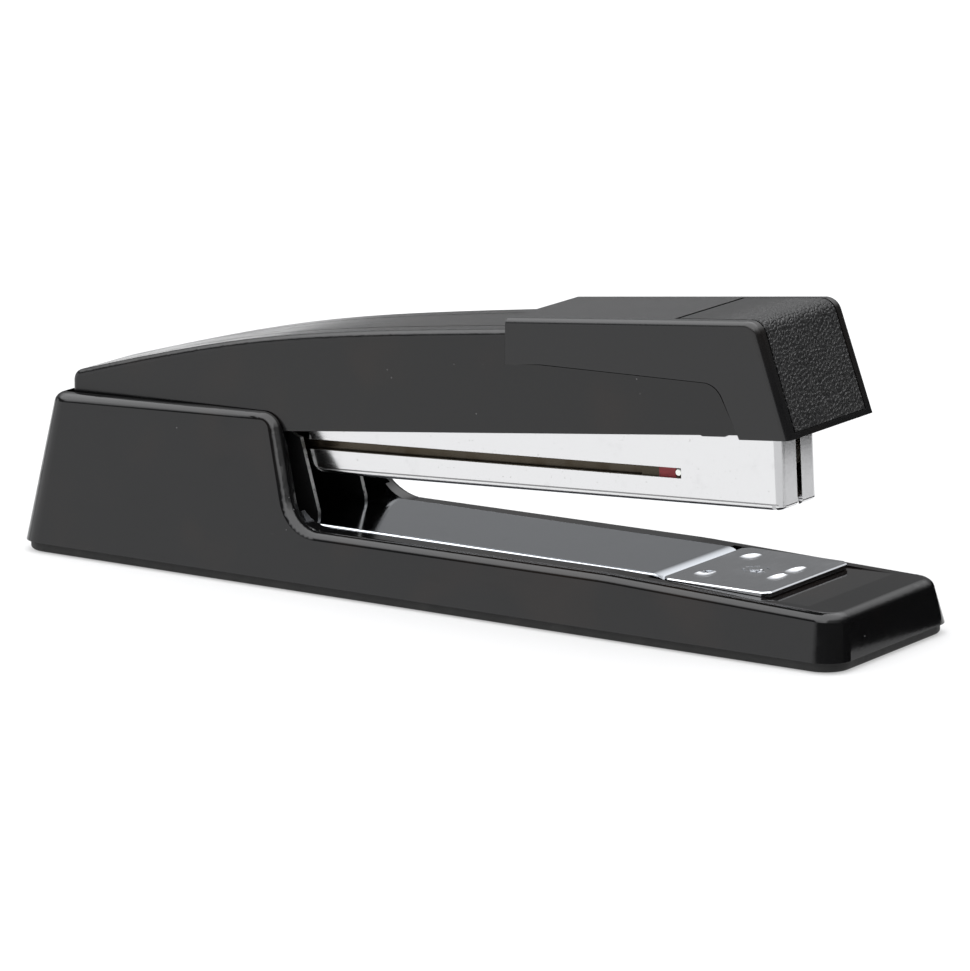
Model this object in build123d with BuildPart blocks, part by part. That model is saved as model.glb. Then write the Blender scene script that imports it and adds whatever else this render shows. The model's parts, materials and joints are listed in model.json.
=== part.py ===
"""Full-strip desk stapler as its separate pieces.

Millimetres. +X runs to the nose, +Z up, Y = 0 is the middle plane, and the desk is Z = 0.
Lengths along the stapler are stations, counted from the rear edge of the rubber pad;
at() turns a station and a height into the part's own X and Z.
"""

import os
from math import cos, radians, sin, tan

from build123d import *

os.makedirs("parts", exist_ok=True)

# ---------------------------------------------------------------- driving dimensions
CENTRE = 105.15          # station of the part's origin, half way along the base shell

PAD_LENGTH, PAD_WIDTH, PAD_HEIGHT = 210.3, 48.2, 2.2
CORNER = 6.0             # plan radius of the base's corners

SHELL_REAR, SHELL_FRONT = -0.7, 211.0
SHELL_HALF = 24.8        # half width at the shell's lower edge
SIDE_DRAFT, REAR_DRAFT, FRONT_DRAFT = 17.0, 4.3, 10.0
RIM = 2.5                # rounding of the shell's upper edges
WALL = 3.0
SLOT_REAR = 3.2          # the opening between the tower's walls, which widens with the arm
SLOT_HALF_REAR, SLOT_HALF_FRONT = 12.3, 13.5
YOKE_WINDOW = 71.3       # the deck is open behind this station
DECK_UNDERSIDE = 10.1
POCKET_FLOOR, POCKET_HALF, ANVIL_POCKET_HALF = 12.15, 15.75, 17.7
ANVIL_POCKET_REAR = 160.5
BOSS_RADIUS, BOSS_HALF = 3.0, 17.0
BOSS_REAR, BOSS_FRONT = 14.0, 148.0
PILOT_RADIUS, PILOT_DEPTH = 1.25, 5.5
GUIDE_RADIUS, GUIDE_DROP = 4.0, 1.5      # the anvil stud's guide under the deck

PLATE_THICK = 1.2        # steel base plate
PLATE_BOTTOM = 2.3

PIVOT_STATION, PIVOT_HEIGHT = 24.0, 30.0
PIN_RADIUS = 2.0
RUNNING = 0.05           # radial clearance of the hinge bores
YOKE_INNER, YOKE_OUTER = 8.5, 9.6

MAG_TILT = 3.0           # the magazine's rise at rest, degrees
MAG_BOTTOM, MAG_TOP = -9.7, 6.9      # heights in the magazine's own frame, from the pin
MAG_REAR, MAG_NOSE = 42.3, 163.0     # distances along the magazine, from the pin
MAG_HALF, MAG_WALL = 7.7, 1.0
RAIL_HALF, RAIL_WALL, RAIL_TOP = 5.75, 0.8, -2.05
RAIL_END, RAIL_LIP = 160.9, 0.9      # the rail's front end, and the wall folded across it
SIGHT_LOW, SIGHT_HIGH, SIGHT_END = -4.35, -2.15, 138.55
ROD_HEIGHT, ROD_RADIUS = -5.55, 0.9
MARK_HEIGHT = -3.25      # of the red flag and its rivet, seen through the window

SQUEEZE = 2.8            # how far the arm stands above its fully pressed place, degrees
ARM_TILT = MAG_TILT + SQUEEZE

ARM_WALL = 1.1
ARM_HALF, ARM_HALF_STATION, ARM_TAPER = 15.2, 124.0, 0.0363
CAP_WALL = 1.8
CAP_REAR = 123.0
EDGE = 1.5               # rounding along the arm's and cap's upper edges
SEAM_GAP = 0.05

FLOOR_HALF, FLOOR_TOP, FLOOR_THICK = 15.5, 13.6, 0.9
FLOOR_FRONT, FLOOR_EDGE, FLOOR_CORNER = 163.0, 0.7, 1.2
ROLL_RUN, ROLL_ANGLE, ROLL_RADIUS = 1.6, 38.0, 4.4   # the plate's front edge, rolled down

ANVIL_REAR, ANVIL_FRONT, ANVIL_HALF = 163.5, 189.8, 17.2
ANVIL_TOP, ANVIL_THICK = 13.5, 1.1
STUD_STATION, STUD_RADIUS = 176.6, 1.6
CRIMP_STATION, PIN_STATION, SCOOP_DEPTH = 184.0, 169.6, 0.55
CRIMP_SIDE, CRIMP_SIZE = 3.7, (8.0, 3.4)
PIN_SIDE, PIN_SIZE = 9.3, (6.8, 4.4)
STAKE_OUTER, STAKE_INNER, STAKE_BREAK = 3.0, 2.55, 1.6
BUTTON_RADIUS = 7.0


def at(station, height):
    """The part's X and Z for a station along the stapler and a height above the desk."""
    return (station - CENTRE, height)


def x_of(station):
    return station - CENTRE


PIVOT = Vector(x_of(PIVOT_STATION), 0, PIVOT_HEIGHT)


def side_plane(tilt):
    """Side view through the pivot: local x runs along the piece, local y is its height."""
    turn = radians(tilt)
    return Plane(origin=PIVOT, x_dir=(cos(turn), 0, sin(turn)), z_dir=(0, -1, 0))


def along(tilt, distance=0.0, height=0.0):
    """Plan view of a tilted piece: local x runs along it, local y is +Y, and it faces up."""
    turn = radians(tilt)
    lift = Vector(cos(turn), 0, sin(turn)) * distance + Vector(-sin(turn), 0, cos(turn)) * height
    return Plane(origin=PIVOT + lift, x_dir=(cos(turn), 0, sin(turn)),
                 z_dir=(-sin(turn), 0, cos(turn)))


def across(tilt, distance=0.0):
    """Cross-section of a tilted piece: local x is +Y, local y is up, and it faces the nose."""
    turn = radians(tilt)
    forward = Vector(cos(turn), 0, sin(turn))
    return Plane(origin=PIVOT + forward * distance, x_dir=(0, 1, 0), z_dir=forward)


MAG = side_plane(MAG_TILT)
ARM = side_plane(ARM_TILT)


def finish(builder, name):
    """Names a finished piece and writes it."""
    builder.part.label = name
    export_step(builder.part, f"parts/{name}.step")


# ---------------------------------------------------------------- base shell
def drafted_block(inset, low, high):
    """The shell's drafted body between two heights, moved in from its faces by inset."""
    def outline(height):
        rise = height - PAD_HEIGHT
        rear = SHELL_REAR + rise * tan(radians(REAR_DRAFT)) + inset
        front = SHELL_FRONT - rise * tan(radians(FRONT_DRAFT)) - inset
        half = SHELL_HALF - rise * tan(radians(SIDE_DRAFT)) - inset
        corner = max(CORNER - inset - 0.06 * rise, 1.0)
        return rear, front, half, corner

    with BuildPart(mode=Mode.PRIVATE) as block:
        for height in (low, high):
            rear, front, half, corner = outline(height)
            middle = ((rear + front) / 2 - CENTRE, 0, height)
            with BuildSketch(Plane(origin=middle)):
                RectangleRounded(front - rear, 2 * half, corner)
        loft(ruled=True)
    return block.part


TOWER_CORNER, TOWER_FOOT = (62.3, 36.6), (72.1, 13.15)


def is_rim(edge):
    """True for the shell's outer upper edges: along the sides, and across both ends."""
    middle = edge.center()
    box = edge.bounding_box()
    station = middle.X + CENTRE
    at_end = station < 8 or station > 203
    if middle.Z < 10.5 or (at_end and box.size.Z > 4):
        return False
    return abs(middle.Y) > 5 or at_end


with BuildPart() as base_shell:
    add(drafted_block(0.0, PAD_HEIGHT, 40.0))
    with BuildSketch(Plane.XZ):
        with BuildLine():
            top = FilletPolyline(
                at(-6, 33.9), at(*TOWER_CORNER), at(*TOWER_FOOT), at(152, 13.5), at(216, 11.7),
                radius=[5.0, 9.0, 60.0])
            Polyline(top @ 1, at(216, 0), at(-6, 0), top @ 0)
        make_face()
    extrude(amount=30, both=True, mode=Mode.INTERSECT)
    fillet(base_shell.edges().filter_by(is_rim), radius=RIM)

    # the hollow under the deck, and the tower's open inside
    add(drafted_block(WALL, PAD_HEIGHT, DECK_UNDERSIDE), mode=Mode.SUBTRACT)
    with BuildPart(mode=Mode.PRIVATE) as tower_hollow:
        add(drafted_block(WALL, PAD_HEIGHT, 46.0))
        split(bisect_by=Plane.YZ.offset(x_of(YOKE_WINDOW)), keep=Keep.BOTTOM)
    add(tower_hollow.part, mode=Mode.SUBTRACT)
    with BuildSketch(Plane.XY.offset(DECK_UNDERSIDE)):
        with BuildLine():
            Polyline((x_of(SLOT_REAR), -SLOT_HALF_REAR), (x_of(YOKE_WINDOW), -SLOT_HALF_FRONT),
                     (x_of(YOKE_WINDOW), SLOT_HALF_FRONT), (x_of(SLOT_REAR), SLOT_HALF_REAR), close=True)
        make_face()
    extrude(amount=60, mode=Mode.SUBTRACT)
    with BuildSketch(Plane.XY.offset(POCKET_FLOOR)):
        with Locations((x_of((YOKE_WINDOW + 216) / 2), 0)):
            Rectangle(216 - YOKE_WINDOW, 2 * POCKET_HALF)
        with Locations((x_of((ANVIL_POCKET_REAR + 216) / 2), 0)):
            Rectangle(216 - ANVIL_POCKET_REAR, 2 * ANVIL_POCKET_HALF)
    extrude(amount=60, mode=Mode.SUBTRACT)

    # screw bosses, and the anvil stud's guide
    with BuildSketch(Plane.XY.offset(PLATE_BOTTOM + PLATE_THICK)):
        for side in (-BOSS_HALF, BOSS_HALF):
            with Locations((x_of(BOSS_REAR), side), (x_of(BOSS_FRONT), side)):
                Circle(BOSS_RADIUS)
    extrude(amount=DECK_UNDERSIDE + 0.5 - PLATE_BOTTOM - PLATE_THICK)
    with BuildSketch(Plane.XY.offset(DECK_UNDERSIDE)):
        for side in (-1, 1):
            with Locations((x_of(BOSS_REAR), side * (BOSS_HALF + 1.5))):
                Rectangle(2 * BOSS_RADIUS, 4)
    extrude(amount=3)
    with BuildSketch(Plane.XY.offset(PLATE_BOTTOM + PLATE_THICK)):
        for side in (-BOSS_HALF, BOSS_HALF):
            with Locations((x_of(BOSS_REAR), side), (x_of(BOSS_FRONT), side)):
                Circle(PILOT_RADIUS)
    extrude(amount=PILOT_DEPTH, mode=Mode.SUBTRACT)
    with BuildSketch(Plane.XY.offset(DECK_UNDERSIDE - GUIDE_DROP)):
        with Locations((x_of(STUD_STATION), 0)):
            Circle(GUIDE_RADIUS)
    extrude(amount=GUIDE_DROP + 0.5)
    with BuildSketch(Plane.XY.offset(DECK_UNDERSIDE - 3)):
        with Locations((x_of(STUD_STATION), 0)):
            Circle(STUD_RADIUS + RUNNING)
    extrude(amount=8, mode=Mode.SUBTRACT)
finish(base_shell, "base_shell")

# ---------------------------------------------------------------- rubber pad
with BuildPart() as base_pad:
    with BuildSketch():
        RectangleRounded(PAD_LENGTH, PAD_WIDTH, CORNER)
    extrude(amount=PAD_HEIGHT)
    fillet(base_pad.faces().sort_by(Axis.Z)[0].edges(), radius=0.8)
    with BuildSketch():
        with Locations((x_of(STUD_STATION), 0)):
            Circle(BUTTON_RADIUS)
    extrude(amount=PAD_HEIGHT, mode=Mode.SUBTRACT)
finish(base_pad, "base_pad")

# ---------------------------------------------------------------- base plate and screws
PLATE_REAR, PLATE_FRONT, PLATE_WIDTH, PLATE_CORNER = 8.0, 156.0, 40.6, 4.0
SCREW_RADIUS, SCREW_LENGTH = 1.2, 6.2
HEAD_RADIUS, HEAD_THICK = 2.5, 0.55
with BuildPart() as base_plate:
    with BuildSketch(Plane.XY.offset(PLATE_BOTTOM)):
        with Locations((x_of((PLATE_REAR + PLATE_FRONT) / 2), 0)):
            RectangleRounded(PLATE_FRONT - PLATE_REAR, PLATE_WIDTH, PLATE_CORNER)
        for side in (-BOSS_HALF, BOSS_HALF):
            with Locations((x_of(BOSS_REAR), side), (x_of(BOSS_FRONT), side)):
                Circle(SCREW_RADIUS + 0.4, mode=Mode.SUBTRACT)
    extrude(amount=PLATE_THICK)
    for side in (-BOSS_HALF, BOSS_HALF):
        for station in (BOSS_REAR, BOSS_FRONT):
            with Locations((x_of(station), side, PLATE_BOTTOM)):
                Cylinder(HEAD_RADIUS + 0.2, HEAD_THICK + 0.05,
                         align=(Align.CENTER, Align.CENTER, Align.MIN), mode=Mode.SUBTRACT)
finish(base_plate, "base_plate")

with BuildPart() as base_screws:
    for side in (-BOSS_HALF, BOSS_HALF):
        for station in (BOSS_REAR, BOSS_FRONT):
            with Locations((x_of(station), side, PLATE_BOTTOM)):
                Cylinder(HEAD_RADIUS, HEAD_THICK, align=(Align.CENTER, Align.CENTER, Align.MIN))
                Cylinder(SCREW_RADIUS, SCREW_LENGTH, align=(Align.CENTER, Align.CENTER, Align.MIN))
finish(base_screws, "base_screws")

# ---------------------------------------------------------------- yoke: pivot ears on a steel web
YOKE_WEB_LOW = PLATE_BOTTOM + PLATE_THICK
YOKE_REAR = 29.5         # the web starts ahead of the arm's rear wall when the arm is folded back
YOKE_FRONT = 70.6
RIVET_STATIONS, RIVET_SIDE = (34.5, 62.0), 5.0
SHANK_RADIUS, DOME_RADIUS, DOME_HEIGHT = 1.5, 2.6, 0.9
YOKE_THICK = 1.2
EAR_RADIUS = 7.0
with BuildPart() as yoke:
    with BuildSketch(Plane.XZ):
        with BuildLine():
            Polyline(at(YOKE_REAR, YOKE_WEB_LOW), at(YOKE_REAR, 11.8), at(23.5, 15.2), at(17.4, 27.0),
                     at(22, 36.8), at(58, 33.5), at(66.0, 30.6), at(YOKE_FRONT, 14.6),
                     at(YOKE_FRONT, YOKE_WEB_LOW), close=True)
        make_face()
        with Locations(at(PIVOT_STATION, PIVOT_HEIGHT)):
            Circle(EAR_RADIUS)
    extrude(amount=YOKE_OUTER, both=True)
    with BuildSketch(Plane.XZ):
        with Locations(at(45, YOKE_WEB_LOW + YOKE_THICK)):
            Rectangle(80, 60, align=(Align.CENTER, Align.MIN))
    extrude(amount=YOKE_INNER, both=True, mode=Mode.SUBTRACT)
    with BuildSketch(Plane.XZ):
        with Locations(at(PIVOT_STATION, PIVOT_HEIGHT)):
            Circle(PIN_RADIUS)
    extrude(amount=20, both=True, mode=Mode.SUBTRACT)
    fillet(yoke.edges().filter_by(Axis.X).filter_by(
        lambda e: e.center().Z < YOKE_WEB_LOW + 0.1), radius=0.9)
    with BuildSketch(Plane.XY.offset(YOKE_WEB_LOW)):
        for side in (-RIVET_SIDE, RIVET_SIDE):
            with Locations(*[(x_of(station), side) for station in RIVET_STATIONS]):
                Circle(SHANK_RADIUS)
    extrude(amount=2, mode=Mode.SUBTRACT)
finish(yoke, "yoke")

with BuildPart() as yoke_rivets:
    for side in (-RIVET_SIDE, RIVET_SIDE):
        for station in RIVET_STATIONS:
            with Locations((x_of(station), side, YOKE_WEB_LOW)):
                Cylinder(SHANK_RADIUS, YOKE_THICK, align=(Align.CENTER, Align.CENTER, Align.MIN))
            with Locations((x_of(station), side, YOKE_WEB_LOW + YOKE_THICK)):
                Cylinder(DOME_RADIUS, DOME_HEIGHT, align=(Align.CENTER, Align.CENTER, Align.MIN))
    fillet(yoke_rivets.edges().filter_by(GeomType.CIRCLE).group_by(Axis.Z)[-1], radius=0.6)
finish(yoke_rivets, "yoke_rivets")

# ---------------------------------------------------------------- pivot pin and spacers
PIN_HEAD_INNER, PIN_HEAD_OUTER, PIN_HEAD_RADIUS = 11.7, 12.5, 3.2
SPACER_RADIUS = 3.4
with BuildPart() as pivot_pin:
    with BuildSketch(Plane.XZ.offset(-PIN_HEAD_INNER)):
        with Locations(at(PIVOT_STATION, PIVOT_HEIGHT)):
            Circle(PIN_RADIUS)
    extrude(amount=2 * PIN_HEAD_INNER)
    for side in (-1, 1):
        with BuildSketch(Plane.XZ.offset(side * (PIN_HEAD_INNER + PIN_HEAD_OUTER) / 2)):
            with Locations(at(PIVOT_STATION, PIVOT_HEIGHT)):
                Circle(PIN_HEAD_RADIUS)
        extrude(amount=(PIN_HEAD_OUTER - PIN_HEAD_INNER) / 2, both=True)
    fillet(pivot_pin.edges().filter_by(GeomType.CIRCLE).filter_by(
        lambda e: abs(e.center().Y) > PIN_HEAD_OUTER - 0.01), radius=0.6)
finish(pivot_pin, "pivot_pin")

with BuildPart() as pin_spacers:
    for side in (-1, 1):
        with BuildSketch(Plane.XZ.offset(side * (RAIL_HALF + YOKE_INNER) / 2)):
            with Locations(at(PIVOT_STATION, PIVOT_HEIGHT)):
                Circle(SPACER_RADIUS)
                Circle(PIN_RADIUS, mode=Mode.SUBTRACT)
        extrude(amount=(YOKE_INNER - RAIL_HALF) / 2 - 0.1, both=True)
finish(pin_spacers, "pin_spacers")


# ---------------------------------------------------------------- lift spring
LIFT_STATION = 50.0
LIFT_LOW, LIFT_HIGH = YOKE_WEB_LOW + YOKE_THICK, 22.6
LIFT_OUTER, LIFT_INNER = 4.4, 3.4
with BuildPart() as lift_spring:
    with BuildSketch(Plane.XY.offset(LIFT_LOW)):
        with Locations((x_of(LIFT_STATION), 0)):
            Circle(LIFT_OUTER)
            Circle(LIFT_INNER, mode=Mode.SUBTRACT)
    extrude(amount=LIFT_HIGH - LIFT_LOW)
finish(lift_spring, "lift_spring")

# ---------------------------------------------------------------- floor plate
with BuildPart() as floor_plate:
    with BuildSketch(Plane.XZ):
        with Locations(at(YOKE_WINDOW, POCKET_FLOOR)):
            Rectangle(FLOOR_FRONT - YOKE_WINDOW, FLOOR_TOP - POCKET_FLOOR, align=(Align.MIN, Align.MIN))
    extrude(amount=FLOOR_HALF, both=True)
    fillet(floor_plate.edges().filter_by(Axis.X).group_by(Axis.Z)[-1], radius=FLOOR_EDGE)
    fillet(floor_plate.edges().filter_by(Axis.Z).group_by(Axis.X)[-1], radius=FLOOR_CORNER)
    with BuildSketch(Plane.XZ):
        with BuildLine():
            over = FilletPolyline(at(YOKE_WINDOW, FLOOR_TOP), at(FLOOR_FRONT - ROLL_RUN, FLOOR_TOP),
                                  at(FLOOR_FRONT, FLOOR_TOP - ROLL_RUN * tan(radians(ROLL_ANGLE))),
                                  at(FLOOR_FRONT, POCKET_FLOOR), radius=[ROLL_RADIUS, 0])
            Polyline(over @ 1, at(YOKE_WINDOW, POCKET_FLOOR), over @ 0)
        make_face()
    extrude(amount=FLOOR_HALF, both=True, mode=Mode.INTERSECT)
    with BuildSketch(Plane.XZ):
        with Locations(at(YOKE_WINDOW - 1, POCKET_FLOOR - 1)):
            Rectangle(FLOOR_FRONT - YOKE_WINDOW + 1 - FLOOR_THICK - ROLL_RUN,
                      FLOOR_TOP - FLOOR_THICK - POCKET_FLOOR + 1, align=(Align.MIN, Align.MIN))
    extrude(amount=FLOOR_HALF - FLOOR_THICK, both=True, mode=Mode.SUBTRACT)
finish(floor_plate, "floor_plate")

# ---------------------------------------------------------------- anvil
ANVIL_MIDDLE = (ANVIL_REAR + ANVIL_FRONT) / 2


def scoop(station, side, length, width, depth):
    """A bowl-shaped forming groove in the anvil's top: a ring's lowest part, longer in Y than in X."""
    def radius(chord):
        return ((chord / 2) ** 2 + depth ** 2) / (2 * depth)

    x = x_of(station)
    with BuildPart(mode=Mode.PRIVATE) as groove:
        with BuildSketch(Plane.XZ.offset(-side)):
            with Locations((x, ANVIL_TOP + radius(width) - depth)):
                Circle(radius(width))
        revolve(axis=Axis((x, side, ANVIL_TOP + radius(length) - depth), (1, 0, 0)))
    return groove.part


with BuildPart() as anvil_plate:
    with BuildSketch(Plane.XY.offset(ANVIL_TOP - ANVIL_THICK)):
        with Locations((x_of(ANVIL_MIDDLE), 0)):
            Rectangle(ANVIL_FRONT - ANVIL_REAR, 2 * ANVIL_HALF)
    extrude(amount=ANVIL_THICK)
    chamfer(anvil_plate.edges().filter_by(Axis.Z), length=1.6)
    chamfer(anvil_plate.faces().sort_by(Axis.Z)[-1].edges(), length=0.25)
    for side in (-1, 1):
        add(scoop(CRIMP_STATION, side * CRIMP_SIDE, *CRIMP_SIZE, SCOOP_DEPTH), mode=Mode.SUBTRACT)
        add(scoop(PIN_STATION, side * PIN_SIDE, *PIN_SIZE, SCOOP_DEPTH), mode=Mode.SUBTRACT)
    # staking marks beside the stud
    with BuildSketch(Plane.XY.offset(ANVIL_TOP - 0.15)):
        with Locations((x_of(STUD_STATION), 0)):
            Circle(STAKE_OUTER)
            Circle(STAKE_INNER, mode=Mode.SUBTRACT)
            Rectangle(STAKE_BREAK, 8, mode=Mode.SUBTRACT)
            Rectangle(8, STAKE_BREAK, mode=Mode.SUBTRACT)
    extrude(amount=1, mode=Mode.SUBTRACT)
    with BuildSketch(Plane.XY.offset(ANVIL_TOP - 2)):
        with Locations((x_of(STUD_STATION), 0)):
            Circle(STUD_RADIUS)
    extrude(amount=4, mode=Mode.SUBTRACT)
finish(anvil_plate, "anvil_plate")

STUD_FOOT = 3.3
CLIP_LOW, CLIP_THICK, CLIP_NECK = 4.4, 0.6, 1.1
CLIP_RADIUS, CLIP_GAP = 3.4, 1.8
with BuildPart() as anvil_stud:
    with BuildSketch(Plane.XZ):
        with BuildLine():
            x, r = x_of(STUD_STATION), STUD_RADIUS
            Polyline((x, STUD_FOOT), (x + r, STUD_FOOT), (x + r, CLIP_LOW),
                     (x + CLIP_NECK, CLIP_LOW), (x + CLIP_NECK, CLIP_LOW + CLIP_THICK),
                     (x + r, CLIP_LOW + CLIP_THICK), (x + r, ANVIL_TOP + 0.1),
                     (x + 0.9 * r, ANVIL_TOP + 0.25), (x, ANVIL_TOP + 0.25), close=True)
        make_face()
    revolve(axis=Axis((x_of(STUD_STATION), 0, 0), (0, 0, 1)))
finish(anvil_stud, "anvil_stud")

with BuildPart() as anvil_clip:
    with BuildSketch(Plane.XY.offset(CLIP_LOW)):
        with Locations((x_of(STUD_STATION), 0)):
            Circle(CLIP_RADIUS)
            Circle(CLIP_NECK, mode=Mode.SUBTRACT)
            Rectangle(CLIP_GAP, 8, align=(Align.CENTER, Align.MIN), mode=Mode.SUBTRACT)
    extrude(amount=CLIP_THICK)
finish(anvil_clip, "anvil_clip")

ANVIL_COIL_OUTER, ANVIL_COIL_INNER = 2.9, 2.1
with BuildPart() as anvil_spring:
    with BuildSketch(Plane.XY.offset(CLIP_LOW + CLIP_THICK)):
        with Locations((x_of(STUD_STATION), 0)):
            Circle(ANVIL_COIL_OUTER)
            Circle(ANVIL_COIL_INNER, mode=Mode.SUBTRACT)
    extrude(amount=DECK_UNDERSIDE - GUIDE_DROP - CLIP_LOW - CLIP_THICK)
finish(anvil_spring, "anvil_spring")

# ---------------------------------------------------------------- magazine channel
SLIT_HALF = 1.0          # gap between the two flanges folded across the nose
BLADE_ROOM = 1.1
FOLD_ROUND = 0.9         # bend radius along the channel's floor
NOSE_ROUND = 2.2         # bend radius from the sides to the nose flanges
RELIEF = 0.8
with BuildPart() as magazine_channel:
    with BuildSketch(MAG):
        with BuildLine():
            FilletPolyline((MAG_REAR, MAG_BOTTOM), (MAG_NOSE, MAG_BOTTOM), (MAG_NOSE, MAG_TOP),
                           (MAG_REAR, MAG_TOP), radius=[4.2, 0, 0, 3.0], close=True)
        make_face()
    extrude(amount=MAG_HALF, both=True)
    fillet(magazine_channel.edges().filter_by(
        lambda e: e.length < 20 and abs(e.center().Y) > 7 and e.center().X > x_of(150)), radius=NOSE_ROUND)
    fillet(magazine_channel.edges().filter_by(
        lambda e: e.length > 100 and e.center().Z < 30), radius=FOLD_ROUND)
    with BuildSketch(MAG):
        with BuildLine():
            Polyline((MAG_REAR - 5, MAG_BOTTOM + MAG_WALL), (MAG_NOSE - MAG_WALL, MAG_BOTTOM + MAG_WALL),
                     (MAG_NOSE - MAG_WALL, MAG_TOP + 5), (MAG_REAR - 5, MAG_TOP + 5), close=True)
        make_face()
    extrude(amount=MAG_HALF - MAG_WALL, both=True, mode=Mode.SUBTRACT)
    # the window that shows the staples, open at the rear
    with BuildSketch(MAG):
        with Locations(((MAG_REAR + SIGHT_END) / 2 - 2.5, (SIGHT_LOW + SIGHT_HIGH) / 2)):
            Rectangle(SIGHT_END - MAG_REAR + 5, SIGHT_HIGH - SIGHT_LOW)
    extrude(amount=20, both=True, mode=Mode.SUBTRACT)
    # the gap in the nose, the way out for a staple, and the notch at the nose's foot
    with BuildSketch(across(MAG_TILT, MAG_NOSE - 3)):
        Rectangle(2 * SLIT_HALF, 60)
    extrude(amount=10, mode=Mode.SUBTRACT)
    with BuildSketch(MAG):
        with Locations((MAG_NOSE - MAG_WALL - BLADE_ROOM, MAG_BOTTOM - 1)):
            Rectangle(BLADE_ROOM, 3, align=(Align.MIN, Align.MIN))
    extrude(amount=MAG_HALF - MAG_WALL, both=True, mode=Mode.SUBTRACT)
    # bend reliefs where the side, the floor and the nose flange meet
    for side in (-1, 1):
        with BuildSketch(MAG.offset(side * (MAG_HALF - NOSE_ROUND / 2))):
            with Locations((MAG_NOSE - NOSE_ROUND, MAG_BOTTOM - 1)):
                Rectangle(RELIEF, 1 + MAG_WALL, align=(Align.MIN, Align.MIN))
        extrude(amount=NOSE_ROUND / 2 + 0.1, both=True, mode=Mode.SUBTRACT)
finish(magazine_channel, "magazine_channel")

# ---------------------------------------------------------------- staple rail
with BuildPart() as staple_rail:
    with BuildSketch(MAG):
        with BuildLine():
            Polyline((-4, MAG_BOTTOM + MAG_WALL), (RAIL_END, MAG_BOTTOM + MAG_WALL), (RAIL_END, RAIL_TOP),
                     (22, RAIL_TOP), (12, 3.5), (-4, 3.5), close=True)
        make_face()
        Circle(5.2)
    extrude(amount=RAIL_HALF, both=True)
    with BuildSketch(MAG):
        with BuildLine():
            Polyline((-10, MAG_BOTTOM - 1), (RAIL_END - RAIL_LIP, MAG_BOTTOM - 1),
                     (RAIL_END - RAIL_LIP, RAIL_TOP - RAIL_WALL), (20, RAIL_TOP - RAIL_WALL),
                     (20, 20), (-10, 20), close=True)
        make_face()
    extrude(amount=RAIL_HALF - RAIL_WALL, both=True, mode=Mode.SUBTRACT)
    with BuildSketch(MAG):
        Circle(PIN_RADIUS + RUNNING)
    extrude(amount=20, both=True, mode=Mode.SUBTRACT)
    with BuildSketch(along(MAG_TILT)):
        with Locations((86, 0)):
            Rectangle(144, 2.6)
    extrude(amount=3, both=True, mode=Mode.SUBTRACT)
finish(staple_rail, "staple_rail")

BRACKET_TOP = RAIL_TOP - 1.3
BRACKET_REAR, BRACKET_THICK, ROD_REAR = 6.5, 2.0, 6.0
with BuildPart() as rod_bracket:
    with BuildSketch(across(MAG_TILT, BRACKET_REAR)):
        with Locations((0, (MAG_BOTTOM + MAG_WALL + BRACKET_TOP) / 2)):
            Rectangle(2 * (RAIL_HALF - RAIL_WALL), BRACKET_TOP - MAG_BOTTOM - MAG_WALL)
        with Locations((0, ROD_HEIGHT)):
            Circle(ROD_RADIUS, mode=Mode.SUBTRACT)
    extrude(amount=BRACKET_THICK)
finish(rod_bracket, "rod_bracket")

with BuildPart() as pusher_rod:
    with BuildSketch(across(MAG_TILT, ROD_REAR)):
        with Locations((0, ROD_HEIGHT)):
            Circle(ROD_RADIUS)
    extrude(amount=RAIL_END - RAIL_LIP - ROD_REAR)
finish(pusher_rod, "pusher_rod")

JOIN_DISTANCES, JOIN_SIDE, JOIN_RADIUS = (50.0, 118.0), 6.22, 0.42
with BuildPart() as magazine_rivets:
    for distance in JOIN_DISTANCES:
        for side in (-1, 1):
            with BuildSketch(along(MAG_TILT, distance, MAG_BOTTOM + MAG_WALL)):
                with Locations((0, side * JOIN_SIDE)):
                    Circle(JOIN_RADIUS)
            extrude(amount=0.4)
finish(magazine_rivets, "magazine_rivets")

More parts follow.
